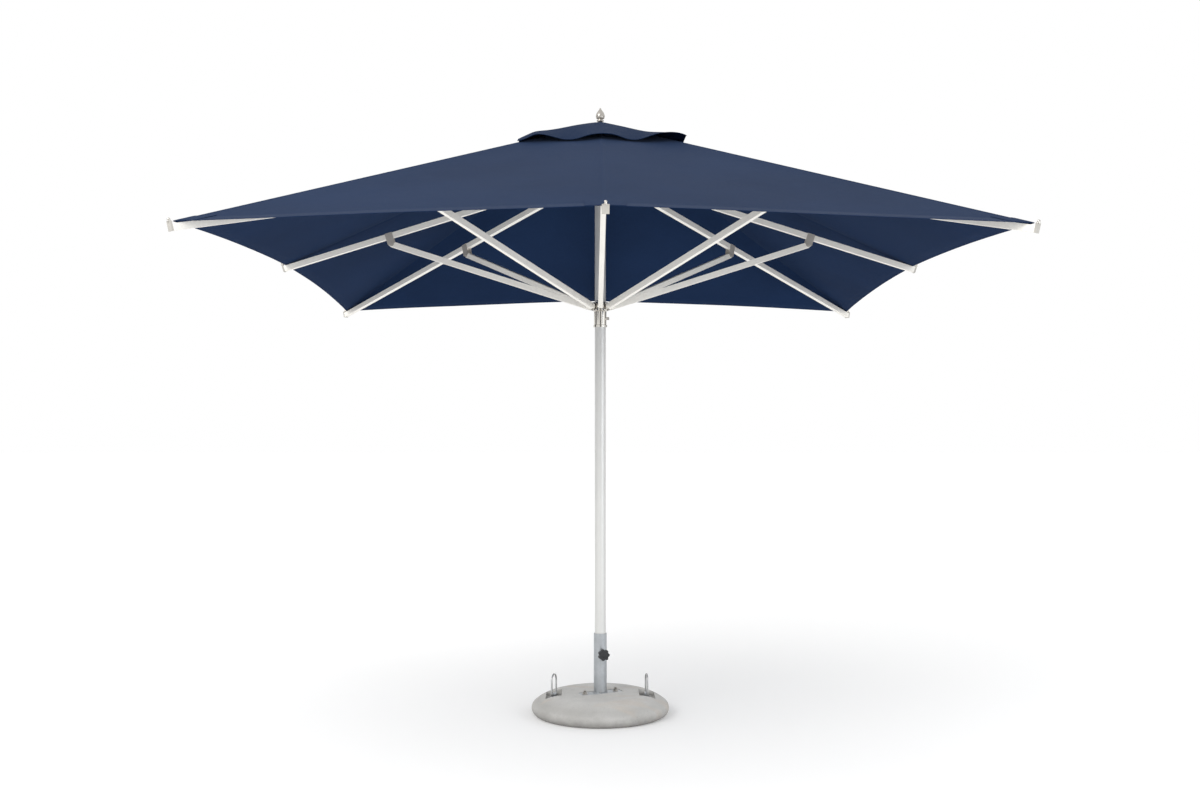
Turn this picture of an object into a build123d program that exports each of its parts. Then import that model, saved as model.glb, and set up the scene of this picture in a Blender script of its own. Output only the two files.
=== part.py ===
from build123d import *
import math
import os

os.makedirs("parts", exist_ok=True)

# All sizes in millimetres. +Z is up, the pole stands on the Z axis, the ground is Z = 0.

# base
base_radius = 321.0
base_edge_radius = 31.0
base_flat_radius = 190.0
base_top = 98.0
plate_bottom = 90.0
plate_thickness = 6.0
plate_length = 208.0
plate_width = 64.0
pocket_gap = 3.0
bolt_reach = 80.0
foot_turn = 26.0
tube_radius = 30.3
tube_wall = 3.0
tube_top = 373.0

# clamp
clamp_height = 280.0
clamp_turn = 16.0
screw_radius = 5.0
knob_radius = 27.0
knob_lobes = 7

# carrying loops
loop_reach = 217.0
loop_pin_height = 86.0
loop_wire_radius = 4.0
loop_width = 58.0
loop_rise = 100.0
loop_azimuths = {-1: 71.0, 1: 96.0}
loop_lug_length = 24.0
pocket_width = 74.0
pocket_length = 150.0
pocket_floor = 70.0
ridge_width = 20.0
ridge_height = 14.0
ridge_length = 34.0
ridge_bite = 1.0

# pole
pole_radius = 26.0
pole_wall = 2.0
pole_top = 2560.0

# hub that the ribs hinge on
hub_height = 2530.0
hub_radius = 74.0
hub_core_radius = 43.5
hub_thickness = 44.0
pin_circle = 60.0
pin_radius = 3.5
running_gap = 0.05

# ribs and struts
rib_width = 25.0
rib_depth = 25.0
rib_top = 15.0
rib_low = rib_top - rib_depth
rib_wall = 2.0
strut_width = 22.0
strut_depth = 26.0
strut_wall = 2.5
bolt_radius = 4.0
mid_tip = (1488.0, 2082.0)
corner_tip = (2121.3, 2016.0)
mid_bracket_reach = 980.747
mid_bracket_drop = 36.0
corner_bracket_reach = 963.258
corner_bracket_drop = 42.0
bracket_half_length = 17.5
end_cap_thickness = 7.0

# runner that slides on the pole
runner_pin_height = 1907.0
runner_bottom = 1810.0
runner_top = 1927.0
runner_bore = 28.5
lock_height = 1850.0
lock_turn = -15.0

# crown that carries the cloth
crown_rod_radius = 10.0
crown_foot = 2464.0
crown_disc_low = 2744.0
crown_disc_radius = 38.0
finial_foot = 2790.0
spring_seat = 2262.0

# cloth
cloth = 1.5
cloth_apex = 2780.0
cloth_top_mid = 2101.0
cloth_top_corner = 2040.0
cloth_end_gap = 4.0
edge_sag = 22.0
vent_opening = 0.16
vent_cap_share = 0.249
strap_half_width = 10.0
strap_start = 28.0


def unit(azimuth):
    a = math.radians(azimuth)
    return Vector(math.cos(a), math.sin(a), 0)


def side_plane(azimuth, shift=0.0):
    """Upright plane through the pole's axis: X runs outward, Y runs up."""
    across = Vector(unit(azimuth).Y, -unit(azimuth).X, 0)
    return Plane(origin=across * shift, x_dir=unit(azimuth), z_dir=across)


def facing_plane(azimuth, reach, height):
    """Plane square to a radius, facing outward."""
    origin = unit(azimuth) * reach + Vector(0, 0, height)
    return Plane(origin=origin, x_dir=Vector(-unit(azimuth).Y, unit(azimuth).X, 0), z_dir=unit(azimuth))


def bar(start, angle, near, far, low, high):
    """Corners of a straight bar in a side plane, along a line that starts at a point."""
    u = (math.cos(angle), math.sin(angle))
    n = (-u[1], u[0])
    ends = [(near, low), (far, low), (far, high), (near, high)]
    return [(start[0] + s * u[0] + h * n[0], start[1] + s * u[1] + h * n[1]) for s, h in ends]


def along(start, angle, s, h):
    return bar(start, angle, s, s, h, h)[0]


def save(part, name):
    part.label = name
    export_step(part, f"parts/{name}.step")


# ---- base -------------------------------------------------------------------------------------

# The edge of the disc is an arc from the ground, and the shoulder is a wider arc that runs on
# smoothly from it and meets the flat top without a crease.
foot_radius = base_radius - base_edge_radius
shoulder_run = foot_radius - base_flat_radius
shoulder_drop = base_top - base_edge_radius
shoulder_radius = ((shoulder_run ** 2 + shoulder_drop ** 2 - base_edge_radius ** 2)
                   / (2 * (shoulder_drop - base_edge_radius)))
shoulder_span = shoulder_radius - base_edge_radius
shoulder_start = (foot_radius + base_edge_radius * shoulder_run / shoulder_span,
                  base_edge_radius + base_edge_radius * (shoulder_radius - shoulder_drop) / shoulder_span)
ridge_centre = (pocket_length - ridge_length) / 2 + ridge_bite


def foot_plane(height):
    """Level plane whose X runs along the foot bar."""
    return Plane(origin=(0, 0, height), x_dir=unit(foot_turn), z_dir=(0, 0, 1))


with BuildPart() as concrete_base:
    with BuildSketch(Plane.XZ):
        with BuildLine():
            Line((0, 0), (foot_radius, 0))
            ThreePointArc((foot_radius, 0), (base_radius, base_edge_radius), shoulder_start)
            RadiusArc(shoulder_start, (base_flat_radius, base_top), -shoulder_radius)
            Line((base_flat_radius, base_top), (0, base_top))
            Line((0, base_top), (0, 0))
        make_face()
    revolve(axis=Axis.Z)
    with BuildSketch(foot_plane(plate_bottom)):
        Rectangle(plate_length + 2 * pocket_gap, plate_width + 2 * pocket_gap)
    extrude(amount=20, mode=Mode.SUBTRACT)
    with BuildSketch(Plane.XY.offset(pocket_floor)):
        with Locations((loop_reach, 0), (-loop_reach, 0)):
            Rectangle(pocket_width, pocket_length)
    extrude(amount=base_top - pocket_floor + 2, mode=Mode.SUBTRACT)
    with BuildSketch(Plane.XY.offset(pocket_floor)):
        for side in (-1, 1):
            with Locations((side * loop_reach, ridge_centre), (side * loop_reach, -ridge_centre)):
                Rectangle(ridge_width, ridge_length)
    extrude(amount=ridge_height)
    with BuildSketch(foot_plane(plate_bottom - 45)):
        with Locations((bolt_reach, 0), (-bolt_reach, 0)):
            Circle(6.0)
    extrude(amount=50, mode=Mode.SUBTRACT)
save(concrete_base.part, "concrete_base")

with BuildPart() as base_plate:
    with BuildSketch(foot_plane(plate_bottom)):
        RectangleRounded(plate_length, plate_width, 14)
        with Locations((bolt_reach, 0), (-bolt_reach, 0)):
            Circle(6.2, mode=Mode.SUBTRACT)
        with Locations((0, -15)):
            Circle(4, mode=Mode.SUBTRACT)
    extrude(amount=plate_thickness)
save(base_plate.part, "base_plate")

plate_top = plate_bottom + plate_thickness

with BuildPart() as base_tube:
    with BuildSketch(Plane.XY.offset(plate_top)):
        Circle(tube_radius)
    extrude(amount=tube_top - plate_top)
    with BuildSketch(facing_plane(clamp_turn - 90, 20, clamp_height)):
        Circle(10)
    extrude(amount=18)
    with BuildSketch(Plane.XY.offset(plate_top)):
        Circle(tube_radius - tube_wall)
    extrude(amount=tube_top - plate_top, mode=Mode.SUBTRACT)
    with BuildSketch(facing_plane(clamp_turn - 90, 20, clamp_height)):
        Circle(screw_radius + running_gap)
    extrude(amount=30, mode=Mode.SUBTRACT)
    with BuildSketch(facing_plane(-86, 20, plate_top + 7)):
        Circle(3)
    extrude(amount=30, mode=Mode.SUBTRACT)
save(base_tube.part, "base_tube")

with BuildPart() as base_bolts:
    for side in (-1, 1):
        with BuildSketch(foot_plane(plate_bottom - 40)):
            with Locations((side * bolt_reach, 0)):
                Circle(5.9)
        extrude(amount=40 + plate_thickness + 14)
        with BuildSketch(foot_plane(plate_top)):
            with Locations((side * bolt_reach, 0)):
                Circle(14)
        extrude(amount=2)
        with BuildSketch(foot_plane(plate_top + 2)):
            with Locations((side * bolt_reach, 0)):
                RegularPolygon(10.5, 6)
        extrude(amount=9)
save(base_bolts.part, "base_bolts")

with BuildPart() as clamp_screw:
    with BuildSketch(facing_plane(clamp_turn - 90, pole_radius + 0.05, clamp_height)):
        Circle(screw_radius)
    extrude(amount=26)
save(clamp_screw.part, "clamp_screw")

with BuildPart() as star_knob:
    with BuildSketch(facing_plane(clamp_turn - 90, 46, clamp_height)):
        Circle(knob_radius - 5)
        with PolarLocations(knob_radius - 7.5, knob_lobes):
            Circle(7.5)
    extrude(amount=20)
    fillet(star_knob.faces().filter_by(GeomType.PLANE).edges(), 1.5)
    with BuildSketch(facing_plane(clamp_turn - 90, 40, clamp_height)):
        Circle(11)
    extrude(amount=6)
    with BuildSketch(facing_plane(clamp_turn - 90, 40, clamp_height)):
        Circle(screw_radius + running_gap)
    extrude(amount=12.1, mode=Mode.SUBTRACT)
save(star_knob.part, "star_knob")

# ---- carrying loops ---------------------------------------------------------------------------

def loop_section(side, reach):
    """Upright plane square to a loop's pivot, with its origin reach along the pivot and +Y up."""
    pivot = unit(loop_azimuths[side])
    middle = Vector(side * loop_reach, 0, loop_pin_height)
    return Plane(origin=middle + pivot * reach, x_dir=pivot.cross(Vector(0, 0, 1)), z_dir=-pivot)


with BuildPart() as handle_anchors:
    for side in (-1, 1):
        with BuildSketch(loop_section(side, loop_lug_length / 2)):
            Circle(10)
            with Locations((0, -8)):
                Rectangle(20, 16)
        extrude(amount=loop_lug_length)
        with BuildSketch(loop_section(side, loop_lug_length)):
            Circle(loop_wire_radius + running_gap)
        extrude(amount=2 * loop_lug_length, mode=Mode.SUBTRACT)
save(handle_anchors.part, "handle_anchors")


def loop_handle(name, side):
    """Closed wire loop that stands upright and turns about its straight lower bar."""
    middle = Vector(side * loop_reach, 0, 0)
    pivot = unit(loop_azimuths[side])
    half = loop_width / 2
    round_off = 8.0
    low = loop_pin_height
    high = loop_pin_height + loop_rise - half - loop_wire_radius
    with BuildPart() as handle:
        with BuildLine(Plane(origin=middle, x_dir=pivot, z_dir=pivot.cross(Vector(0, 0, 1)))):
            Line((0, low), (half - round_off, low))
            RadiusArc((half - round_off, low), (half, low + round_off), -round_off)
            Line((half, low + round_off), (half, high))
            ThreePointArc((half, high), (0, high + half), (-half, high))
            Line((-half, high), (-half, low + round_off))
            RadiusArc((-half, low + round_off), (-half + round_off, low), -round_off)
            Line((-half + round_off, low), (0, low))
        with BuildSketch(Plane(origin=middle + Vector(0, 0, low), z_dir=pivot)):
            Circle(loop_wire_radius)
        sweep()
    save(handle.part, name)


loop_handle("handle_left", -1)
loop_handle("handle_right", 1)

# ---- pole, hub and pins -----------------------------------------------------------------------

with BuildPart() as pole:
    with BuildSketch(Plane.XY.offset(plate_top + 4)):
        Circle(pole_radius)
        Circle(pole_radius - pole_wall, mode=Mode.SUBTRACT)
    extrude(amount=pole_top - plate_top - 4)
save(pole.part, "pole")

with BuildPart() as pole_sleeves:
    with BuildSketch(Plane.XY.offset(plate_top)):
        Circle(pole_radius)
    extrude(amount=4)
    with BuildSketch(Plane.XY.offset(plate_top + 4)):
        Circle(pole_radius - pole_wall)
    extrude(amount=30)
    with BuildSketch(Plane.XY.offset(spring_seat - 20)):
        Circle(pole_radius - pole_wall)
    extrude(amount=20)
    with BuildSketch(Plane.XY.offset(pole_top - 60)):
        Circle(pole_radius - pole_wall)
        Circle(crown_rod_radius + 0.1, mode=Mode.SUBTRACT)
    extrude(amount=60)
    with BuildSketch(Plane.XY.offset(pole_top)):
        Circle(pole_radius)
        Circle(crown_rod_radius + 0.1, mode=Mode.SUBTRACT)
    extrude(amount=5)
save(pole_sleeves.part, "pole_sleeves")

hub_low = hub_height - hub_thickness / 2

with BuildPart() as hub:
    with BuildSketch(Plane.XY.offset(hub_low)):
        Circle(hub_radius)
        Circle(pole_radius, mode=Mode.SUBTRACT)
        with PolarLocations(hub_core_radius + 50, 8):
            Rectangle(100, rib_width + 0.8, mode=Mode.SUBTRACT)
    extrude(amount=hub_thickness)
    with BuildSketch(Plane.XY.offset(hub_low - 12)):
        Circle(hub_core_radius - 6)
        Circle(pole_radius, mode=Mode.SUBTRACT)
    extrude(amount=12)
    for k in range(8):
        with BuildSketch(side_plane(45 * k)):
            with Locations((pin_circle, hub_height)):
                Circle(pin_radius + running_gap)
        extrude(amount=19.6, both=True, mode=Mode.SUBTRACT)
save(hub.part, "hub")

with BuildPart() as hub_pins:
    for k in range(8):
        with BuildSketch(side_plane(45 * k)):
            with Locations((pin_circle, hub_height)):
                Circle(pin_radius)
        extrude(amount=19.5, both=True)
save(hub_pins.part, "hub_pins")

# ---- ribs, brackets, end caps and struts ------------------------------------------------------

pivot = (pin_circle, hub_height)
foot = (pin_circle, runner_pin_height)

for k in range(8):
    azimuth = 45 * k
    plane = side_plane(azimuth)
    corner = k % 2 == 1
    tip = corner_tip if corner else mid_tip
    reach = corner_bracket_reach if corner else mid_bracket_reach
    drop = corner_bracket_drop if corner else mid_bracket_drop
    rise = math.atan2(tip[1] - hub_height, tip[0] - pin_circle)
    length = math.hypot(tip[1] - hub_height, tip[0] - pin_circle)
    joint = along(pivot, rise, reach, -drop)
    strut_rise = math.atan2(joint[1] - foot[1], joint[0] - foot[0])
    strut_length = math.hypot(joint[1] - foot[1], joint[0] - foot[0])

    with BuildPart() as rib:
        with BuildSketch(plane):
            Polygon(*bar(pivot, rise, 0, length, rib_low, rib_top), align=None)
            with Locations(along(pivot, rise, 0, rib_top - rib_depth / 2)):
                Circle(rib_depth / 2)
        extrude(amount=rib_width / 2, both=True)
        with BuildSketch(plane):
            Polygon(*bar(pivot, rise, -20, length + 5, rib_low + rib_wall, rib_top - rib_wall), align=None)
        extrude(amount=rib_width / 2 - rib_wall, both=True, mode=Mode.SUBTRACT)
        with BuildSketch(plane):
            with Locations(pivot):
                Circle(pin_radius + running_gap)
        extrude(amount=20, both=True, mode=Mode.SUBTRACT)
    save(rib.part, f"rib_{k}")

    with BuildPart() as rib_bracket:
        with BuildSketch(plane):
            Polygon(*bar(pivot, rise, reach - bracket_half_length, reach + bracket_half_length, -drop, rib_top + strut_wall), align=None)
            with Locations(joint):
                Circle(11)
        extrude(amount=rib_width / 2 + strut_wall, both=True)
        with BuildSketch(plane):
            Polygon(*bar(pivot, rise, reach - 30, reach + 30, -drop - 30, rib_top), align=None)
        extrude(amount=rib_width / 2, both=True, mode=Mode.SUBTRACT)
        with BuildSketch(plane):
            with Locations(joint):
                Circle(bolt_radius + running_gap)
        extrude(amount=30, both=True, mode=Mode.SUBTRACT)
        with BuildSketch(plane):
            with Locations(joint):
                Circle(bolt_radius)
        extrude(amount=rib_width / 2 + strut_wall, both=True)
        for turn in (1, -1):
            head = side_plane(azimuth, turn * (rib_width / 2 + strut_wall))
            with BuildSketch(head):
                with Locations(joint):
                    Circle(7)
            extrude(amount=turn * 3.5)
    save(rib_bracket.part, f"rib_bracket_{k}")

    with BuildPart() as rib_end_cap:
        with BuildSketch(plane):
            Polygon(*bar(pivot, rise, length, length + end_cap_thickness, rib_low - 1, rib_top + 8), align=None)
        extrude(amount=rib_width / 2 + 1, both=True)
        with BuildSketch(plane):
            Polygon(*bar(pivot, rise, length - 28, length, rib_low + rib_wall, rib_top - rib_wall), align=None)
        extrude(amount=rib_width / 2 - rib_wall, both=True)
        with BuildSketch(plane):
            Polygon(*bar(pivot, rise, length + 1.5, length + 5.5, rib_top + 8, rib_top + 17), align=None)
        extrude(amount=4, both=True)
    save(rib_end_cap.part, f"rib_end_cap_{k}")

    with BuildPart() as strut:
        with BuildSketch(plane):
            Polygon(*bar(foot, strut_rise, 0, strut_length, -strut_depth / 2, strut_depth / 2), align=None)
            with Locations(foot, joint):
                Circle(strut_depth / 2)
        extrude(amount=strut_width / 2, both=True)
        with BuildSketch(plane):
            open_top = bar(foot, strut_rise, -20, strut_length + 20, strut_wall - strut_depth / 2, strut_depth)
            Polygon(*open_top, align=None)
        extrude(amount=strut_width / 2 - strut_wall, both=True, mode=Mode.SUBTRACT)
        with BuildSketch(plane):
            with Locations(joint):
                Circle(bolt_radius + running_gap)
        extrude(amount=20, both=True, mode=Mode.SUBTRACT)
        for turn in (1, -1):
            with BuildSketch(side_plane(azimuth, turn * strut_width / 2)):
                with Locations(foot):
                    Circle(6.5)
            extrude(amount=turn * 3)
    save(strut.part, f"strut_{k}")

# ---- runner -----------------------------------------------------------------------------------

with BuildPart() as runner:
    with BuildSketch(Plane.XZ):
        with BuildLine():
            Polyline((20, runner_bottom), (33, runner_bottom), (33, runner_bottom + 8), (29.75, runner_bottom + 10),
                     (29.75, runner_top - 44), (38.5, runner_top - 40), (38.5, runner_top - 3),
                     (35.5, runner_top), (20, runner_top), (20, runner_bottom))
        make_face()
    revolve(axis=Axis.Z)
    with BuildSketch(facing_plane(lock_turn, 20, lock_height)):
        Circle(7)
    extrude(amount=15)
    for k in range(8):
        with BuildSketch(side_plane(45 * k)):
            Polygon((32, foot[1] - 9), (foot[0], foot[1] - 9), (foot[0], foot[1] + 9), (32, foot[1] + 9), align=None)
            with Locations(foot):
                Circle(9)
        extrude(amount=4, both=True)
        with BuildSketch(side_plane(45 * k)):
            with Locations(foot):
                Circle(8)
        extrude(amount=8.1, both=True)
    with BuildSketch(Plane.XY.offset(runner_bottom)):
        Circle(runner_bore)
    extrude(amount=runner_top - runner_bottom, mode=Mode.SUBTRACT)
    with BuildSketch(facing_plane(lock_turn, 20, lock_height)):
        Circle(3.55)
    extrude(amount=30, mode=Mode.SUBTRACT)
save(runner.part, "runner")

with BuildPart() as runner_liner:
    with BuildSketch(Plane.XY.offset(runner_bottom + 2)):
        Circle(runner_bore)
        Circle(pole_radius + 0.4, mode=Mode.SUBTRACT)
    extrude(amount=runner_top - runner_bottom - 4)
    with BuildSketch(facing_plane(lock_turn, 20, lock_height)):
        Circle(3.6)
    extrude(amount=30, mode=Mode.SUBTRACT)
save(runner_liner.part, "runner_liner")

with BuildPart() as lock_pin:
    with BuildSketch(facing_plane(lock_turn, pole_radius + 0.2, lock_height)):
        Circle(3.5)
    extrude(amount=12)
    with BuildSketch(facing_plane(lock_turn, 35.2, lock_height)):
        Circle(6.5)
    extrude(amount=7)
save(lock_pin.part, "lock_pin")

# ---- crown ------------------------------------------------------------------------------------

with BuildPart() as crown_post:
    with BuildSketch(Plane.XY.offset(crown_foot)):
        Circle(21)
    extrude(amount=6)
    with BuildSketch(Plane.XY.offset(crown_foot + 6)):
        Circle(crown_rod_radius)
    extrude(amount=finial_foot - crown_foot - 6)
    with BuildSketch(Plane.XY.offset(crown_disc_low)):
        Circle(crown_disc_radius)
    extrude(amount=6)
    with BuildSketch(Plane.XY.offset(finial_foot)):
        Circle(4)
    extrude(amount=14)
save(crown_post.part, "crown_post")

with BuildPart() as crown_spring:
    with BuildLine():
        Helix(pitch=20, height=crown_foot - spring_seat - 4, radius=16, center=(0, 0, spring_seat + 2))
    with BuildSketch(Plane(origin=(16, 0, spring_seat + 2), z_dir=(0, 1, 0))):
        Circle(1.5)
    sweep(is_frenet=True)
save(crown_spring.part, "crown_spring")

with BuildPart() as finial:
    with BuildSketch(Plane.XZ):
        with BuildLine():
            Polyline((0, finial_foot), (17, finial_foot), (17, finial_foot + 4), (11, finial_foot + 7),
                     (11, finial_foot + 9), (19, finial_foot + 13))
            Spline((19, finial_foot + 13), (21, finial_foot + 22), (15, finial_foot + 43), (4, finial_foot + 60),
                   (0, finial_foot + 64), tangents=((0.4, 1), (-1, 0.3)))
            Line((0, finial_foot + 64), (0, finial_foot))
        make_face()
    revolve(axis=Axis.Z)
    with BuildSketch(Plane.XY.offset(finial_foot)):
        Circle(4.05)
    extrude(amount=14.1, mode=Mode.SUBTRACT)
save(finial.part, "finial")

# ---- cloth ------------------------------------------------------------------------------------

apex = Vector(0, 0, cloth_apex)


def cloth_tip(k):
    if k % 2:
        return unit(45 * k) * (corner_tip[0] - cloth_end_gap) + Vector(0, 0, cloth_top_corner)
    return unit(45 * k) * (mid_tip[0] - cloth_end_gap) + Vector(0, 0, cloth_top_mid)


def flat_piece(points):
    """Adds one flat polygon of cloth, given by its upper corners, with its thickness below it."""
    normal = (points[1] - points[0]).cross(points[-1] - points[0]).normalized()
    sheet = Plane(origin=points[0], x_dir=(points[1] - points[0]).normalized(), z_dir=normal)
    local = [sheet.to_local_coords(p) for p in points]
    with BuildSketch(sheet) as outline:
        Polygon(*[(p.X, p.Y) for p in local], align=None)
    extrude(outline.sketch, amount=cloth, dir=(0, 0, -1))


for k in range(8):
    tip = cloth_tip(k)
    ridge = tip - apex
    inner = apex + ridge * (strap_start / math.hypot(ridge.X, ridge.Y))
    with BuildPart() as canopy:
        for turn in (1, -1):
            other = cloth_tip((k + turn) % 8)
            middle = (tip + other) / 2
            inward = (apex - middle).normalized()
            away = (tip - other).normalized() * 0.4
            hem = middle + inward * edge_sag + away
            vent_seam = apex + (middle - apex) * vent_opening + away
            normal = ridge.cross(other - apex).normalized()
            side = normal.cross(ridge).normalized()
            vent_ridge = apex + ridge * vent_opening
            flat_piece([inner, tip, hem, vent_seam, vent_ridge + side * strap_half_width,
                        inner + side * strap_half_width])
    save(canopy.part, f"canopy_panel_{k}")

lift = Vector(0, 0, 9)

with BuildPart() as vent_cap:
    for k in range(8):
        ridge = cloth_tip(k) - apex
        other = cloth_tip((k + 1) % 8) - apex
        reach = math.hypot(ridge.X, ridge.Y)
        other_reach = math.hypot(other.X, other.Y)
        flat_piece([apex + lift + ridge * (12 / reach), apex + lift + ridge * vent_cap_share,
                    apex + lift + other * vent_cap_share, apex + lift + other * (12 / other_reach)])
save(vent_cap.part, "vent_cap")
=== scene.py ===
import math

import bpy
from mathutils import Matrix, Vector


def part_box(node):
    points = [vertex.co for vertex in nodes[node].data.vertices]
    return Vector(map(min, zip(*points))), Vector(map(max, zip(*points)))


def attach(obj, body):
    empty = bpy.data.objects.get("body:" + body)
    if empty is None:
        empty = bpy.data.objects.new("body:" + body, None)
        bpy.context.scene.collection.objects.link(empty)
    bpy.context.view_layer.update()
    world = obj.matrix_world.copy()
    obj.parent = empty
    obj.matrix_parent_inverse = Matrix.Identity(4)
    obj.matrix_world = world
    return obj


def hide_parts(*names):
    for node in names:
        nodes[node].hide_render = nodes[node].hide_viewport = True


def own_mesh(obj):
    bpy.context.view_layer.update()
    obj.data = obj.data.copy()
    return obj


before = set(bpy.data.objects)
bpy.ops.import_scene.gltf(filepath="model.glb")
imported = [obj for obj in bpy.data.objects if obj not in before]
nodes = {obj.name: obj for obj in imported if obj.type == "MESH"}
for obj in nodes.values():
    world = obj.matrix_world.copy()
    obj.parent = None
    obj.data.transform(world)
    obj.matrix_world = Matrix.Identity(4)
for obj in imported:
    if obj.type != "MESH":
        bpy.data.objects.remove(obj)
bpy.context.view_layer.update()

RIBS = 8
TINY = 1e-6

# Sizes in metres, in the frame shared with the CAD. A pair is (distance from the pole's axis, height).
APEX = Vector((0, 0, 2.780))
TIP_MID = (1.484, 2.101)
TIP_CORNER = (2.1173, 2.040)
RIB_PIVOT = (0.060, 2.530)
RIB_END_MID = (1.488, 2.082)
RIB_END_CORNER = (2.1213, 2.016)

# Cloth, in metres. EDGE_SAG is how far the hem is pulled in between two ribs.
CLOTH = 0.0012
EDGE_SAG = 0.022
PANEL_SAG = 0.010
HEM_SAG = 0.0035
RIPPLE = 0.0016
HEM_REACH = math.hypot(TIP_MID[0], APEX.z - TIP_MID[1])

# The vent cap, in metres: its lift off the canopy, half the length of a side, the length and height of its
# edge's waves, and how far it puffs up between the crown and its edge.
VENT_LIFT = 0.009
VENT_REACH = 0.372
VENT_WAVE = 0.286
VENT_RISE = 0.034
VENT_PUFF = 0.014

# Shares of the way from the apex to the hem: the canopy's opening, and the cap's inner and outer edge.
VENT_OPENING = 0.16
VENT_CROWN = 0.0085
VENT_CAP = 0.249

# Shares of its width that each cloth would keep when the runner is all the way down.
KEEP_VENT = 0.35
KEEP_STRAP = 0.9
KEEP_MID = 0.080
KEEP_CORNER = 0.086


# ---- materials --------------------------------------------------------------------------------

class Nodes:
    """Short names for making a node material."""

    def __init__(self, name, **sockets):
        self.material = bpy.data.materials.new(name)
        self.material.use_nodes = True
        self.tree = self.material.node_tree
        self.shader = self.tree.nodes["Principled BSDF"]
        for key, value in sockets.items():
            self.shader.inputs[key.replace("_", " ")].default_value = value
        self.coords = self.tree.nodes.new("ShaderNodeTexCoord").outputs["Object"]

    def link(self, a, b):
        self.tree.links.new(a, b)

    def add(self, kind, values=(), **props):
        node = self.tree.nodes.new(kind)
        for key, value in props.items():
            setattr(node, key, value)
        for key, value in dict(values).items():
            if hasattr(value, "is_output"):
                self.link(value, node.inputs[key])
            else:
                node.inputs[key].default_value = value
        return node

    def noise(self, scale, detail=3.0, rough=0.5, at=None):
        values = {"Vector": at or self.coords, "Scale": scale, "Detail": detail, "Roughness": rough}
        return self.add("ShaderNodeTexNoise", values).outputs["Fac"]

    def ramp(self, value, *stops):
        node = self.add("ShaderNodeValToRGB", {"Fac": value})
        elements = node.color_ramp.elements
        while len(elements) < len(stops):
            elements.new(0.5)
        for element, (place, colour) in zip(elements, stops):
            element.position = place
            grey = isinstance(colour, (int, float))
            element.color = (colour, colour, colour, 1) if grey else (*colour, 1)
        return node.outputs["Color"]

    def mix(self, share, a, b, blend="MIX"):
        node = self.add("ShaderNodeMix", data_type="RGBA", blend_type=blend)
        for socket, value in ((node.inputs[0], share), (node.inputs[6], a), (node.inputs[7], b)):
            if hasattr(value, "is_output"):
                self.link(value, socket)
            elif isinstance(value, tuple):
                socket.default_value = (*value, 1)
            else:
                socket.default_value = value
        return node.outputs[2]

    def math(self, operation, a, b=0.0, c=0.0):
        node = self.add("ShaderNodeMath", operation=operation)
        for socket, value in zip(node.inputs, (a, b, c)):
            if hasattr(value, "is_output"):
                self.link(value, socket)
            else:
                socket.default_value = value
        return node.outputs[0]

    def stretch(self, x, y, z, at=None):
        return self.add("ShaderNodeMapping", {"Vector": at or self.coords, "Scale": (x, y, z)}).outputs[0]

    def colour(self, value):
        self.link(value, self.shader.inputs["Base Color"])

    def rough(self, value):
        self.link(value, self.shader.inputs["Roughness"])

    def bump(self, *layers):
        """Layers of (height, strength, depth in metres), finest last."""
        normal = None
        for height, strength, depth in layers:
            values = {"Height": height, "Strength": strength, "Distance": depth}
            if normal:
                values["Normal"] = normal
            normal = self.add("ShaderNodeBump", values).outputs["Normal"]
        self.link(normal, self.shader.inputs["Normal"])


def concrete_material():
    m = Nodes("cast_concrete", Roughness=0.88)
    large = m.noise(5.5, 4, 0.6)
    cloudy = m.noise(18, 5, 0.65)
    fine = m.noise(260, 4, 0.7)
    height = m.add("ShaderNodeSeparateXYZ", {"Vector": m.coords}).outputs["Z"]
    ragged = m.math("ADD", height, m.math("MULTIPLY", m.math("SUBTRACT", cloudy, 0.5), 0.05))
    low = m.ramp(m.math("MULTIPLY", ragged, 10.0), (0.05, 1.0), (0.52, 0.0))
    body = m.ramp(large, (0.30, (0.42, 0.412, 0.393)), (0.52, (0.48, 0.473, 0.455)),
                  (0.72, (0.53, 0.523, 0.505)))
    # Painted light: the colour turns lighter towards the top of the block, so that its top looks more
    # brightly lit.
    painted_top_light = m.ramp(m.math("MULTIPLY", height, 10.0), (0.70, 0.0), (0.95, 0.60))
    body = m.mix(painted_top_light, body, (0.72, 0.712, 0.69))
    body = m.mix(m.ramp(cloudy, (0.35, 0.0), (0.75, 0.45)), body, (0.50, 0.495, 0.48))
    stain = m.ramp(m.noise(9, 2, 0.4, m.stretch(0.5, 1.6, 1.0)), (0.60, 0.0), (0.70, 0.35))
    body = m.mix(stain, body, (0.60, 0.52, 0.44))
    body = m.mix(m.ramp(fine, (0.32, 0.35), (0.5, 0.0)), body, (0.33, 0.32, 0.31))
    cells = m.add("ShaderNodeTexVoronoi", {"Vector": m.coords, "Scale": 70.0, "Randomness": 1.0})
    holes = m.ramp(cells.outputs["Distance"], (0.06, 1.0), (0.16, 0.0))
    scarce = m.ramp(m.noise(23, 2), (0.52, 0.0), (0.60, 1.0))
    holes = m.math("MULTIPLY", holes, m.math("MULTIPLY_ADD", low, 0.8, scarce))
    holes = m.math("MINIMUM", holes, 1.0)
    # Darker towards the bottom, in a ragged band.
    body = m.mix(m.math("MULTIPLY", low, 0.85), body, (0.22, 0.213, 0.202))
    # Painted shade: the small holes are darkened, for the shade inside the pits.
    body = m.mix(m.math("MULTIPLY", holes, 0.6), body, (0.17, 0.165, 0.16))
    m.colour(body)
    m.rough(m.ramp(cloudy, (0.3, 0.80), (0.7, 0.94)))
    m.bump((cloudy, 0.35, 0.004), (m.math("SUBTRACT", 1.0, holes), 0.6, 0.0025), (fine, 0.35, 0.0008))
    return m.material


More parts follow.
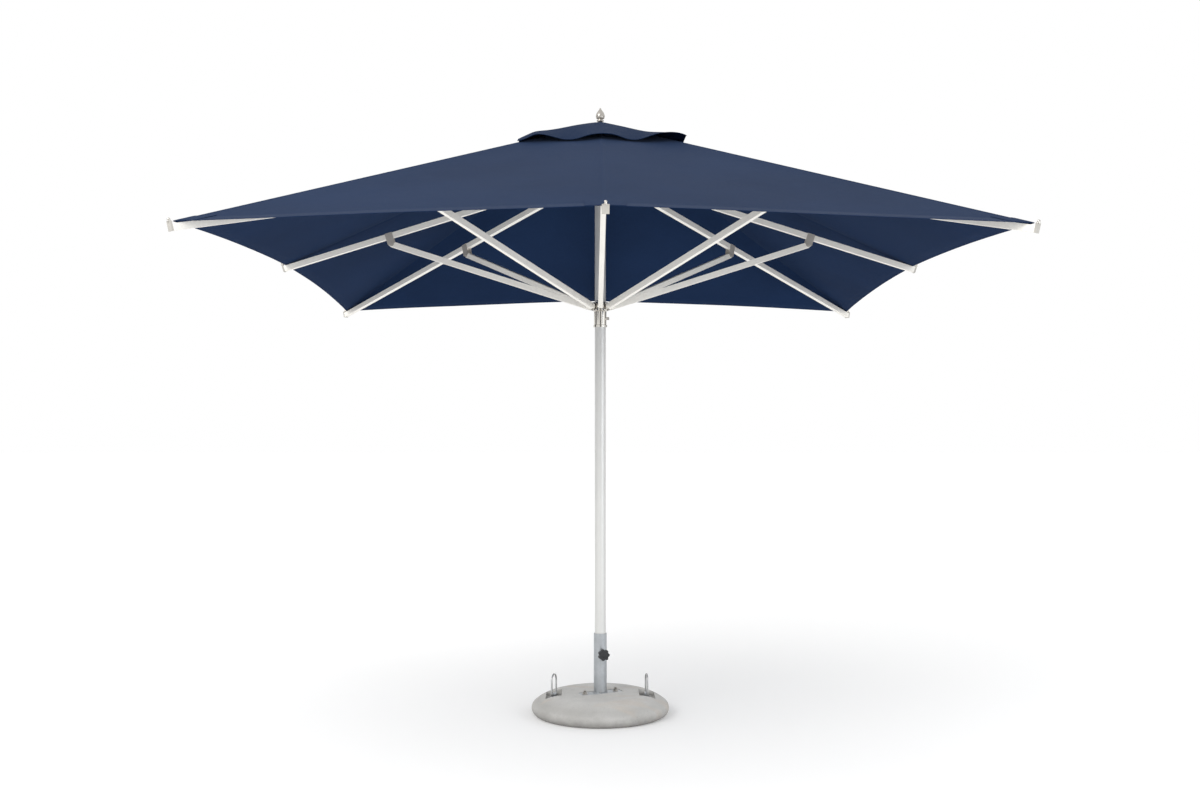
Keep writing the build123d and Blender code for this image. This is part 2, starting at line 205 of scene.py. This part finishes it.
def galvanised_material():
    m = Nodes("galvanised_steel", Metallic=0.9)
    spangle = m.add("ShaderNodeTexVoronoi", {"Vector": m.coords, "Scale": 110.0}).outputs["Color"]
    tone = m.add("ShaderNodeSeparateColor", {"Color": spangle}).outputs[0]
    cloudy = m.noise(14, 4, 0.6)
    dull = m.mix(m.ramp(cloudy, (0.35, 0.0), (0.75, 0.7)), (0.44, 0.462, 0.483), (0.325, 0.342, 0.358))
    m.colour(m.mix(m.math("MULTIPLY", tone, 0.22), dull, (0.56, 0.585, 0.61)))
    m.rough(m.math("MULTIPLY_ADD", tone, 0.10, m.ramp(cloudy, (0.3, 0.32), (0.8, 0.50))))
    m.bump((m.noise(420, 2), 0.08, 0.0006), (tone, 0.05, 0.0004))
    return m.material


def brushed_material(name, colour, roughness, streaks, metallic=1.0, shade=0.12):
    """Metal drawn or brushed along one way: streaks is how the pattern is stretched along X, Y and Z."""
    m = Nodes(name, Metallic=metallic)
    lines = m.noise(60, 3, 0.6, m.stretch(*streaks))
    cloudy = m.noise(6, 3, 0.5)
    dark = tuple(c * (1 - shade) for c in colour)
    tone = m.math("MULTIPLY_ADD", lines, 0.5, m.math("MULTIPLY", cloudy, 0.5))
    m.colour(m.mix(m.ramp(tone, (0.35, 0.0), (0.65, 1.0)), dark, colour))
    m.rough(m.math("MULTIPLY_ADD", lines, 0.14, roughness - 0.07))
    m.bump((lines, 0.06, 0.0004), (m.noise(900, 2), 0.04, 0.0002))
    return m.material


def chrome_material():
    m = Nodes("polished_chrome", Metallic=1.0)
    haze = m.noise(30, 4, 0.6)
    m.colour(m.mix(m.ramp(haze, (0.3, 0.0), (0.8, 0.6)), (0.66, 0.635, 0.59), (0.50, 0.475, 0.435)))
    m.rough(m.ramp(haze, (0.35, 0.06), (0.8, 0.15)))
    m.bump((m.noise(500, 2), 0.02, 0.0003))
    return m.material


def plastic_material(name, colour, roughness, grain):
    m = Nodes(name)
    m.shader.inputs["Specular IOR Level"].default_value = 0.4
    cloudy = m.noise(24, 3)
    light = tuple(min(1.0, c * 1.18 + 0.004) for c in colour)
    m.colour(m.mix(m.ramp(cloudy, (0.3, 0.0), (0.7, 1.0)), colour, light))
    m.rough(m.ramp(cloudy, (0.3, roughness - 0.06), (0.7, roughness + 0.06)))
    m.bump((m.noise(grain, 2, 0.6), 0.14, 0.0006))
    return m.material


# Stitching, in metres. A stitch shows where the sine along its line is above STITCH_SHOWS.
STITCH_FROM_RIDGE = 0.0045
STITCH_FROM_HEM = 0.0225
STITCH_HALF_WIDTH = 0.0006
STITCH_PITCH = 0.0042
STITCH_SHOWS = -0.45


def cloth_material(name, colour, thread=0.0009, stitched=True, gloss=0.10, sheen=0.052):
    """Woven cloth. UVs are in metres: U from the rib's ridge, V from the hem."""
    m = Nodes(name, Roughness=0.86)
    m.shader.inputs["Specular IOR Level"].default_value = gloss
    m.shader.inputs["Sheen Weight"].default_value = sheen
    m.shader.inputs["Sheen Roughness"].default_value = 0.45
    m.shader.inputs["Sheen Tint"].default_value = (0.62, 0.72, 0.95, 1)
    uv = m.add("ShaderNodeUVMap", uv_map="metres").outputs["UV"]
    parts = m.add("ShaderNodeSeparateXYZ", {"Vector": uv})
    off_ridge, off_hem = parts.outputs["X"], parts.outputs["Y"]
    turn = 2 * math.pi / thread
    warp = m.math("SINE", m.math("MULTIPLY", off_ridge, turn))
    weft = m.math("SINE", m.math("MULTIPLY", off_hem, turn))
    weave = m.math("MULTIPLY_ADD", m.math("MULTIPLY", warp, weft), 0.5, 0.5)
    slub = m.noise(26, 3, 0.55, m.stretch(1.0, 9.0, 1.0, uv))
    slub2 = m.noise(26, 3, 0.55, m.stretch(9.0, 1.0, 1.0, uv))
    cloudy = m.noise(1.7, 3, 0.5)
    worn = m.noise(7.0, 4, 0.6)
    tone = m.math("MULTIPLY_ADD", m.math("ADD", slub, slub2), 0.25, m.math("MULTIPLY", cloudy, 0.5))
    dark = tuple(c * 0.86 for c in colour)
    light = tuple(c * 1.12 for c in colour)
    cloth = m.mix(m.ramp(tone, (0.38, 0.0), (0.62, 1.0)), dark, light)
    cloth = m.mix(m.ramp(worn, (0.58, 0.0), (0.78, 0.14)), cloth, tuple(c * 1.4 + 0.002 for c in colour))
    cloth = m.mix(m.math("MULTIPLY", weave, 0.16), cloth, tuple(c * 1.35 for c in colour))
    heights = [(worn, 0.25, 0.006), (m.math("ADD", slub, slub2), 0.12, 0.0008), (weave, 0.35, 0.00025)]
    if stitched:
        seam = m.math("ABSOLUTE", m.math("SUBTRACT", m.math("ABSOLUTE", off_ridge), STITCH_FROM_RIDGE))
        hem = m.math("ABSOLUTE", m.math("SUBTRACT", off_hem, STITCH_FROM_HEM))
        seam_line = m.math("LESS_THAN", seam, STITCH_HALF_WIDTH)
        hem_line = m.math("LESS_THAN", hem, STITCH_HALF_WIDTH)
        dash = 2 * math.pi / STITCH_PITCH
        along = m.math("GREATER_THAN", m.math("SINE", m.math("MULTIPLY", off_hem, dash)), STITCH_SHOWS)
        over = m.math("GREATER_THAN", m.math("SINE", m.math("MULTIPLY", off_ridge, dash)), STITCH_SHOWS)
        stitch = m.math("MAXIMUM", m.math("MULTIPLY", seam_line, along), m.math("MULTIPLY", hem_line, over))
        cloth = m.mix(m.math("MULTIPLY", stitch, 0.55), cloth, tuple(c * 1.8 + 0.006 for c in colour))
        heights.append((stitch, 0.5, 0.0006))
    m.colour(cloth)
    m.bump(*heights)
    return m.material


CONCRETE = concrete_material()
GALVANISED = galvanised_material()
STAINLESS = brushed_material("brushed_stainless", (0.50, 0.475, 0.44), 0.33, (1.0, 1.0, 7.0))
SPRING_STEEL = brushed_material("spring_steel", (0.40, 0.40, 0.41), 0.28, (1.0, 1.0, 1.0))
WIRE = brushed_material("loop_wire", (0.55, 0.555, 0.56), 0.30, (4.0, 1.0, 1.0))
POLE = brushed_material("satin_pole", (0.665, 0.665, 0.652), 0.40, (14.0, 14.0, 0.25), 0.55, 0.07)
FRAME_METAL = brushed_material("satin_frame", (0.90, 0.875, 0.82), 0.46, (2.0, 2.0, 2.0), 0.08, 0.09)
HUB_METAL = brushed_material("machined_hub", (0.66, 0.655, 0.64), 0.36, (2.0, 2.0, 9.0), 0.9)
BRACKET = brushed_material("cast_bracket", (0.44, 0.415, 0.385), 0.48, (2.0, 2.0, 2.0), 0.15)
# Painted shade: the crown post is made almost black, so that the view up into the vent stays dark.
CROWN_POST_SHADED = brushed_material("dark_steel", (0.055, 0.055, 0.060), 0.45, (6.0, 6.0, 1.0), 0.3)
CHROME = chrome_material()
BLACK = plastic_material("black_plastic", (0.018, 0.019, 0.021), 0.46, 600)
PALE = plastic_material("pale_plastic", (0.60, 0.585, 0.555), 0.42, 500)
END_CAP = plastic_material("rib_end_cap", (0.40, 0.385, 0.355), 0.42, 500)
NAVY = cloth_material("navy_cloth", (0.0088, 0.0228, 0.063))
# Painted shade: a darker copy of the navy cloth, with less gloss and sheen, for the faces that look down.
NAVY_SHADED_UNDER = cloth_material("navy_cloth_shaded_under", (0.0080, 0.0205, 0.057), gloss=0.03, sheen=0.006)
# Painted shade: a darker copy of the navy cloth for the vent cap, which stands more steeply towards the key
# light.
NAVY_CAP_SHADED = cloth_material("navy_cloth_shaded_cap", (0.0072, 0.0188, 0.052), gloss=0.07, sheen=0.030)
NAVY_STRAP = cloth_material("navy_webbing", (0.008, 0.014, 0.032), 0.0022, False)

FINISH = {
    "concrete_base": CONCRETE, "base_plate": GALVANISED, "base_tube": GALVANISED, "base_bolts": STAINLESS,
    "handle_anchors": GALVANISED, "handle_left": WIRE, "handle_right": WIRE, "clamp_screw": STAINLESS,
    "star_knob": BLACK, "pole": POLE, "pole_sleeves": PALE, "hub": HUB_METAL, "hub_pins": STAINLESS,
    "runner": CHROME, "runner_liner": PALE, "lock_pin": STAINLESS, "crown_post": CROWN_POST_SHADED,
    "crown_spring": SPRING_STEEL, "finial": STAINLESS, "vent_cap": NAVY,
}
for rib in range(RIBS):
    FINISH[f"rib_{rib}"] = FRAME_METAL
    FINISH[f"strut_{rib}"] = FRAME_METAL
    FINISH[f"rib_bracket_{rib}"] = BRACKET
    FINISH[f"rib_end_cap_{rib}"] = END_CAP
    FINISH[f"canopy_panel_{rib}"] = NAVY

for name, node in nodes.items():
    node.data.materials.clear()
    node.data.materials.append(FINISH[name])


# ---- mesh helpers -----------------------------------------------------------------------------

SHARP_ANGLE = math.radians(50)
NO_AREA = 1e-12


def new_piece(name, points, faces, material, body, uvs=None, under=None):
    """A new mesh that rides on a body. under, if given, is a darker painted-shade copy for faces that look
    down.
    """
    mesh = bpy.data.meshes.new(name)
    mesh.from_pydata([tuple(p) for p in points], [], faces)
    mesh.materials.append(material)
    if uvs:
        layer = mesh.uv_layers.new(name="metres")
        for loop in mesh.loops:
            layer.data[loop.index].uv = uvs[loop.vertex_index]
    mesh.update()
    if under:
        mesh.materials.append(under)
        for face in mesh.polygons:
            face.material_index = 1 if face.normal.z < 0 else 0
    mesh.shade_smooth()
    mesh.set_sharp_from_angle(angle=SHARP_ANGLE)
    piece = bpy.data.objects.new(name, mesh)
    bpy.context.scene.collection.objects.link(piece)
    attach(piece, body)
    return piece


def sheet_mesh(grid, uv, thickness):
    """Closed thin sheet from a grid of upper points. thickness is a function of (row, column)."""
    rows, cols = len(grid), len(grid[0])
    top, under, uvs = [], [], []
    for i in range(rows):
        for j in range(cols):
            along = grid[min(i + 1, rows - 1)][j] - grid[max(i - 1, 0)][j]
            sideways = grid[i][min(j + 1, cols - 1)] - grid[i][max(j - 1, 0)]
            normal = sideways.cross(along)
            normal = normal.normalized() if normal.length > NO_AREA else Vector((0, 0, 1))
            if normal.z < 0:
                normal = -normal
            top.append(grid[i][j])
            under.append(grid[i][j] - normal * thickness(i, j))
            uvs.append(uv[i][j])
    n = rows * cols

    def at(i, j):
        return i * cols + j

    faces = []
    for i in range(rows - 1):
        for j in range(cols - 1):
            quad = (at(i, j), at(i, j + 1), at(i + 1, j + 1), at(i + 1, j))
            faces.append(quad)
            faces.append(tuple(n + v for v in reversed(quad)))
    rim = [at(0, j) for j in range(cols)] + [at(i, cols - 1) for i in range(1, rows)]
    rim += [at(rows - 1, j) for j in range(cols - 2, -1, -1)] + [at(i, 0) for i in range(rows - 2, 0, -1)]
    for a, b in zip(rim, rim[1:] + rim[:1]):
        faces.append((b, a, n + a, n + b))
    first = top[faces[0][1]] - top[faces[0][0]]
    second = top[faces[0][3]] - top[faces[0][0]]
    if first.cross(second).z < 0:
        faces = [tuple(reversed(f)) for f in faces]
    return top + under, faces, uvs + uvs


def lathe(name, profile, place, material, body, steps=40):
    """Turned piece. profile is (radius, height) up the axis, and place moves it to the part."""
    points, faces = [], []
    for r, h in profile:
        for s in range(steps):
            a = 2 * math.pi * s / steps
            points.append(place @ Vector((r * math.cos(a), r * math.sin(a), h)))
    for i in range(len(profile) - 1):
        for s in range(steps):
            t = (s + 1) % steps
            faces.append((i * steps + s, i * steps + t, (i + 1) * steps + t, (i + 1) * steps + s))
    faces.append(tuple(reversed(range(steps))))
    faces.append(tuple((len(profile) - 1) * steps + s for s in range(steps)))
    return new_piece(name, points, faces, material, body)


def unit(k):
    """Level direction in which rib k runs out."""
    a = math.radians(360 / RIBS * k)
    return Vector((math.cos(a), math.sin(a), 0))


def across(k):
    """Level direction square to rib k."""
    return Vector((-unit(k).y, unit(k).x, 0))


def at_side(k, r, z):
    """Point above or below rib k, r from the pole's axis and z up."""
    return unit(k) * r + Vector((0, 0, z))


# ---- cloth ------------------------------------------------------------------------------------

def tip(k):
    """Where the cloth's hem crosses rib k."""
    return at_side(k, *(TIP_CORNER if k % 2 else TIP_MID))


def edge_point(k, turn, w):
    """Point on the hem between rib k (w = 0) and its neighbour (w = 1), pulled in between the two."""
    a, b = tip(k), tip((k + turn) % RIBS)
    middle = (a + b) / 2
    inward = (APEX - middle).normalized()
    return a.lerp(b, w) + inward * (EDGE_SAG * 4 * w * (1 - w))


def cloth_point(k, turn, f, w):
    """Point on the stretched cloth: f runs from the apex (0) to the hem (1). The sag is most between ribs."""
    p = APEX.lerp(edge_point(k, turn, w), f)
    between = 4 * w * (1 - w)
    slack = -PANEL_SAG * between * math.sin(math.pi * min(1.0, f)) - HEM_SAG * between * f ** 6
    gore = k if turn > 0 else (k - 1) % RIBS
    side = w if turn > 0 else 1 - w
    ripple = RIPPLE * math.sin(7.3 * side + 2.1 * gore) * math.sin(9.0 * f + gore) * between
    return p + Vector((0, 0, slack + ripple))


# Distances of a panel's first columns from the ridge, and how many more there are to the gore's middle.
SEAM = (0.0, 0.0055, 0.0068)
SPREAD = 26
# Distances of a panel's last rows from the hem, and how many more there are up to the vent's opening.
HEM_ROWS = (0.0, 0.0012, 0.0240, 0.0252)
PANEL_ROWS = 44
# The cloth is doubled this far from the ridge and from the hem, and stands this much higher there.
SEAM_DOUBLED = 0.0056
SEAM_RAISE = 0.0004
HEM_DOUBLED = 0.0241
HEM_RAISE = 0.0006


def panel_columns(k, turn, f):
    """Shares of the way to the next rib at which the columns of half a panel stand, and their distances."""
    half = (cloth_point(k, turn, f, 0.5) - cloth_point(k, turn, f, 0.0)).length
    rest = [SEAM[-1] + (half - SEAM[-1]) * (i / SPREAD) for i in range(1, SPREAD + 1)]
    return [(d / half * 0.5, d) for d in (*SEAM, *rest)]


def canopy_panel(k):
    """The cloth on either side of rib k, out to the middles of its two gores."""
    last = 1 - HEM_ROWS[-1] / HEM_REACH
    shares = [VENT_OPENING + (last - VENT_OPENING) * i / PANEL_ROWS for i in range(PANEL_ROWS + 1)]
    shares[1:1] = [VENT_OPENING + d / HEM_REACH for d in HEM_ROWS[2:]]
    shares += [1 - d / HEM_REACH for d in reversed(HEM_ROWS[:-1])]
    grid, uv = [], []
    for f in shares:
        row, row_uv = [], []
        to_hem = (1 - f) * HEM_REACH
        to_opening = (f - VENT_OPENING) * HEM_REACH
        left = [(w, -s, -1) for w, s in reversed(panel_columns(k, -1, f)[1:])]
        right = [(w, s, 1) for w, s in panel_columns(k, 1, f)]
        for w, s, turn in left + right:
            raised = SEAM_RAISE if abs(s) <= SEAM_DOUBLED else 0.0
            raised += HEM_RAISE if to_hem <= HEM_DOUBLED or to_opening <= HEM_DOUBLED else 0.0
            row.append(cloth_point(k, turn, f, w) + Vector((0, 0, raised)))
            row_uv.append((s, to_hem))
        grid.append(row)
        uv.append(row_uv)
    points, faces, uvs = sheet_mesh(grid, uv, lambda i, j: CLOTH)
    piece = new_piece(f"canopy_{k}", points, faces, NAVY, f"canopy_{k}", uvs, under=NAVY_SHADED_UNDER)
    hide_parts(f"canopy_panel_{k}")
    return piece


def smooth_step(t):
    """Eased step from 0 to 1."""
    t = min(1.0, max(0.0, t))
    return t * t * (3 - 2 * t)


def azimuth_share(point):
    """How far round to the right a point is: 1 at +X, 0 in front and behind, -1 at -X."""
    reach = math.hypot(point.x, point.y)
    return point.x / reach if reach > TINY else 0.0


# How the waves of the cap's edge differ: more at the corners to the right, less to the left, in the middle
# of a side and at the back.
CORNER_START = 0.72
CORNER_RUN = 0.28
RIGHT_CORNER = 0.75
LEFT_FLATTER = 0.80
MIDDLE_FLATTER = 0.30
MIDDLE_HALF = 0.07
BACK_FLATTER = 0.45
EDGE_DROP = 0.004
EDGE_SPREAD = 0.010


def edge_wave(k, p, x, turn):
    """How high the cap's edge waves at x from the middle of its side, and how uneven it is there."""
    right = max(0.0, azimuth_share(p))
    left = max(0.0, -azimuth_share(p))
    wave = 0.5 + 0.5 * math.cos(2 * math.pi * x / VENT_WAVE)
    to_corner = smooth_step((x / VENT_REACH - CORNER_START) / CORNER_RUN)
    wave += to_corner * (RIGHT_CORNER * right - wave * left)
    wave *= 1 - LEFT_FLATTER * left ** 4
    wave *= 1 - MIDDLE_FLATTER * math.exp(-(x / MIDDLE_HALF) ** 2) * (1 - abs(azimuth_share(p)))
    wave *= 1 - BACK_FLATTER * max(0.0, p.y / max(TINY, math.hypot(p.x, p.y)))
    side = turn * (1 if k % 2 == 0 else -1)
    uneven = 1.0 + 0.18 * side * math.sin(3.0 * x / 0.37) + 0.10 * math.sin(1.7 * k)
    return wave, uneven


def vent_flap(k):
    """One eighth of the vent cap, with the loose, lifted edge between its sewn points."""
    rows, cols = 22, 18
    length = (tip(k) - APEX).length
    grid, uv = [], []
    for i in range(rows + 1):
        share = i / rows
        f = VENT_CROWN + (VENT_CAP - VENT_CROWN) * share
        loose = share ** 2.6
        row, row_uv = [], []
        for j in range(-cols, cols + 1):
            turn = 1 if j >= 0 else -1
            w = 0.5 * abs(j) / cols
            p = APEX.lerp(edge_point(k, turn, w), f)
            x = (w if k % 2 == 0 else 1 - w) * VENT_REACH * share
            wave, uneven = edge_wave(k, p, x, turn)
            up = VENT_LIFT + loose * (VENT_RISE * wave * uneven - EDGE_DROP)
            up += VENT_PUFF * (0.5 - 0.5 * azimuth_share(p)) * math.sin(math.pi * share) ** 0.8
            spread = EDGE_SPREAD * loose * wave
            out = Vector((p.x, p.y, 0))
            out = out.normalized() if out.length > TINY else unit(k)
            row.append(p + Vector((0, 0, up)) + out * spread)
            row_uv.append((p.dot(across(k)), (VENT_CAP - f) * length))
        grid.append(row)
        uv.append(row_uv)
    points, faces, uvs = sheet_mesh(grid, uv, lambda i, j: CLOTH * (1.7 if i >= rows - 1 else 1.0))
    piece = new_piece(f"vent_flap_{k}", points, faces, NAVY_CAP_SHADED, f"canopy_{k}", uvs,
                      under=NAVY_SHADED_UNDER)
    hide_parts("vent_cap")
    return piece


# The strap's half width, its start from the pole's axis, its lap past the opening, how far it hangs below the
# cloth, and how much lower each column lies than the one before it.
STRAP_HALF = 0.0095
STRAP_THICKNESS = 0.0014
STRAP_START = 0.029
STRAP_LAP = 0.05
STRAP_DROP = 0.0026
STRAP_BOW = 0.0004


def strap(k):
    """Webbing that ties the cloth to the crown, sewn to the underside of the vent opening."""
    rows, cols = 16, 3
    ridge = tip(k) - APEX
    flat = math.hypot(ridge.x, ridge.y)
    ends = (STRAP_START / flat, VENT_OPENING + STRAP_LAP / flat)
    grid, uv = [], []
    for i in range(rows + 1):
        f = ends[0] + (ends[1] - ends[0]) * i / rows
        p = APEX + ridge * f + Vector((0, 0, -STRAP_DROP))
        row, row_uv = [], []
        for j in range(-cols, cols + 1):
            aside = STRAP_HALF * j / cols
            row.append(p + across(k) * aside + Vector((0, 0, -STRAP_BOW * abs(j))))
            row_uv.append((aside, f * flat))
        grid.append(row)
        uv.append(row_uv)
    points, faces, uvs = sheet_mesh(grid, uv, lambda i, j: STRAP_THICKNESS)
    piece = new_piece(f"strap_{k}", points, faces, NAVY_STRAP, f"canopy_{k}", uvs)
    return piece


PATCH_LENGTH = 0.085
PATCH_HALF = 0.075
PATCH_OFF_HEM = 0.0015
PATCH_LIFT = 0.0020
PATCH_SWELL = 0.0006


def patch(k):
    """Second layer of cloth sewn over the tip of the rib."""
    steps = 8
    length = (tip(k) - APEX).length
    grid, uv = [], []
    for i in range(steps + 1):
        to_hem = PATCH_LENGTH * (1 - i / steps) + PATCH_OFF_HEM
        f = 1 - to_hem / length
        row, row_uv = [], []
        for j in range(-steps, steps + 1):
            turn = 1 if j >= 0 else -1
            half = (cloth_point(k, turn, f, 0.5) - cloth_point(k, turn, f, 0.0)).length
            s = PATCH_HALF * abs(j) / steps
            swell = PATCH_SWELL if 0 < i < steps and abs(j) < steps else 0.0
            row.append(cloth_point(k, turn, f, s / half * 0.5) + Vector((0, 0, PATCH_LIFT + swell)))
            row_uv.append((turn * s, to_hem))
        grid.append(row)
        uv.append(row_uv)
    points, faces, uvs = sheet_mesh(grid, uv, lambda i, j: CLOTH)
    piece = new_piece(f"tip_patch_{k}", points, faces, NAVY, f"canopy_{k}", uvs,
                      under=NAVY_SHADED_UNDER)
    return piece


for k in range(RIBS):
    keep = KEEP_CORNER if k % 2 else KEEP_MID
    shares = (keep, KEEP_VENT, KEEP_STRAP, keep)
    for cloth, share in zip((canopy_panel(k), vent_flap(k), strap(k), patch(k)), shares):
        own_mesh(cloth)


# ---- small fittings ---------------------------------------------------------------------------

FINE_STEPS = 28


def axis_place(origin, z):
    """Matrix that stands a turned piece at origin with its axis along z."""
    return Matrix.Translation(origin) @ z.to_track_quat("Z", "Y").to_matrix().to_4x4()


# Stud through the cloth at each rib's end, and how far past the rib's end point and above it the stud sits.
STUD = [(0.0088, 0.0), (0.0088, 0.0012), (0.0085, 0.0020), (0.0062, 0.0022), (0.0062, 0.0050),
        (0.0060, 0.0085), (0.0050, 0.0112), (0.0030, 0.0130), (0.0005, 0.0135)]
STUD_ALONG = 0.0035
STUD_ABOVE = 0.0231

for k in range(RIBS):
    end = RIB_END_CORNER if k % 2 else RIB_END_MID
    run = Vector((end[0] - RIB_PIVOT[0], 0, end[1] - RIB_PIVOT[1]))
    u = (unit(k) * run.x + Vector((0, 0, run.z))).normalized()
    n = (Vector((0, 0, 1)) - u * u.z).normalized()
    seat = at_side(k, *end) + u * STUD_ALONG + n * STUD_ABOVE
    place = axis_place(seat, n)
    lathe(f"tip_stud_{k}", STUD, place, CHROME, f"rib_{k}", FINE_STEPS)

plate_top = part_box("base_plate")[1].z
# The radius of the weld's ring, the radius of its bead, and how far the bead's middle stands above the plate.
WELD_REACH = 0.0310
WELD_SIZE = 0.0040
WELD_LIFT = 0.0006


def weld_bead():
    """Fillet weld with its ripples, round the foot of the tube."""
    rings, steps = 12, 180
    points, faces = [], []
    for s in range(steps):
        a = 2 * math.pi * s / steps
        size = WELD_SIZE + 0.0006 * math.sin(23 * a) + 0.0003 * math.sin(57 * a + 1.0)
        for r in range(rings):
            b = 2 * math.pi * r / rings
            reach = WELD_REACH + size * math.cos(b)
            height = plate_top + WELD_LIFT + size * 0.9 * math.sin(b)
            points.append((reach * math.cos(a), reach * math.sin(a), height))
    for s in range(steps):
        t = (s + 1) % steps
        for r in range(rings):
            q = (r + 1) % rings
            faces.append((s * rings + r, t * rings + r, t * rings + q, s * rings + q))
    return new_piece("foot_weld", points, faces, GALVANISED, "base")


weld_bead()

# The bolts stand on a line turned from X, and their threads show above the nuts.
FOOT_TURN = math.radians(26)
BOLT_REACH = 0.080
NUT_TOP = 0.0106
THREAD_ROOT = 0.0059
THREAD_CREST = 0.0064
THREAD_PITCH = 0.0006
THREAD_TURNS = 10
THREAD_END = [(0.0056, 0.0064), (0.0005, 0.0066)]
thread = []
for i in range(THREAD_TURNS):
    thread += [(THREAD_ROOT, THREAD_PITCH * i), (THREAD_CREST, THREAD_PITCH * i + THREAD_PITCH / 2)]
thread += THREAD_END

for side, name in ((-1, "left"), (1, "right")):
    bolt = Vector((math.cos(FOOT_TURN), math.sin(FOOT_TURN), 0)) * (side * BOLT_REACH)
    place = Matrix.Translation(bolt + Vector((0, 0, plate_top + NUT_TOP)))
    lathe(f"bolt_thread_{name}", thread, place, STAINLESS, "base", FINE_STEPS)

# The knob faces the front, turned a little toward +X.
KNOB_TURN = math.radians(16)
KNOB_FACE = 0.0659
KNOB_HEIGHT = 0.280
KNOB_CAP = [(0.0125, 0.0), (0.0125, 0.0012), (0.0112, 0.0022), (0.0060, 0.0026), (0.0005, 0.0027)]
knob_out = Vector((math.sin(KNOB_TURN), -math.cos(KNOB_TURN), 0))
place = axis_place(knob_out * KNOB_FACE + Vector((0, 0, KNOB_HEIGHT)), knob_out)
lathe("knob_cap", KNOB_CAP, place, BLACK, "star_knob")


# ---- floor, light and camera ------------------------------------------------------------------

def flat_material(name, colour, roughness):
    """Dull paper of one colour."""
    m = Nodes(name, Roughness=roughness)
    m.shader.inputs["Base Color"].default_value = (*colour, 1)
    m.shader.inputs["Specular IOR Level"].default_value = 0.1
    return m.material


def card(name, size, location, aim, material):
    """Flat sheet of the studio, that faces a point."""
    bpy.ops.mesh.primitive_plane_add(size=1, location=location)
    made = bpy.context.object
    made.name = name
    made.scale = (size[0], size[1], 1)
    direction = Vector(aim) - Vector(location)
    made.rotation_euler = direction.to_track_quat("Z", "Y").to_euler()
    made.data.materials.append(material)
    return made


paper = flat_material("pale_floor", (0.93, 0.93, 0.93), 0.9)
paper_shader = paper.node_tree.nodes["Principled BSDF"]
paper_shader.inputs["Emission Color"].default_value = (1, 1, 1, 1)
paper_shader.inputs["Emission Strength"].default_value = 0.10
FLOOR_SIZE = 160
card("floor", (FLOOR_SIZE, FLOOR_SIZE), (0, 0, 0), (0, 0, 10), paper)

# Dark cards that are seen only in reflections: name, x, y and width.
dark = flat_material("dark_card", (0.03, 0.028, 0.026), 1.0)
CARDS = (("card_left", -5.0, -0.3, 2.6), ("card_front", 0.3, -8.5, 2.4), ("card_right", 3.6, -3.4, 1.0),
         ("card_back", 5.5, 2.4, 2.2))
CARD_MIDDLE = 3.3
CARD_HEIGHT = 2.2
for name, x, y, width in CARDS:
    flag = card(name, (width, CARD_HEIGHT), (x, y, CARD_MIDDLE), (0, 0, CARD_MIDDLE), dark)
    flag.visible_camera = False
    flag.visible_diffuse = False
    flag.visible_shadow = False

world = bpy.data.worlds.new("studio")
bpy.context.scene.world = world
world.use_nodes = True
background = world.node_tree.nodes["Background"]
background.inputs["Color"].default_value = (1.0, 1.0, 1.0, 1)
background.inputs["Strength"].default_value = 1.0


def area_light(name, location, aim, size, power, colour):
    """Rectangular soft light that faces a point."""
    data = bpy.data.lights.new(name, "AREA")
    data.shape = "RECTANGLE"
    data.size, data.size_y = size
    data.energy = power
    data.color = colour
    light = bpy.data.objects.new(name, data)
    bpy.context.scene.collection.objects.link(light)
    light.location = location
    light.rotation_euler = (Vector(aim) - Vector(location)).to_track_quat("-Z", "Y").to_euler()


area_light("key_light", (-5.5, -6.0, 6.5), (0, 0, 1.8), (4.0, 4.0), 300, (1.0, 0.985, 0.96))
area_light("floor_bounce", (0, -2.2, 0.25), (0, 0.2, 2.4), (5.0, 3.0), 12, (1.0, 0.985, 0.95))
area_light("fill_light", (5.5, -5.0, 2.2), (0, 0, 1.6), (3.5, 3.5), 75, (0.88, 0.94, 1.0))

# CAMERA_UP is in degrees above level, and CAMERA_TURN in radians.
CAMERA_PLACE = (-0.0693, -5.6087, 1.301)
CAMERA_UP = 1.662
CAMERA_TURN = -0.0121
FOCAL_LENGTH = 35.69
SENSOR_WIDTH = 36.0
FAR_ENOUGH = 200.0

camera_data = bpy.data.cameras.new("camera")
camera = bpy.data.objects.new("camera", camera_data)
bpy.context.scene.collection.objects.link(camera)
bpy.context.scene.camera = camera
camera_data.sensor_width = SENSOR_WIDTH
camera_data.lens = FOCAL_LENGTH
camera_data.clip_end = FAR_ENOUGH
camera.location = CAMERA_PLACE
camera.rotation_euler = (math.radians(90 + CAMERA_UP), 0, CAMERA_TURN)

bpy.context.scene.view_settings.view_transform = "Standard"
bpy.context.scene.view_settings.look = "None"
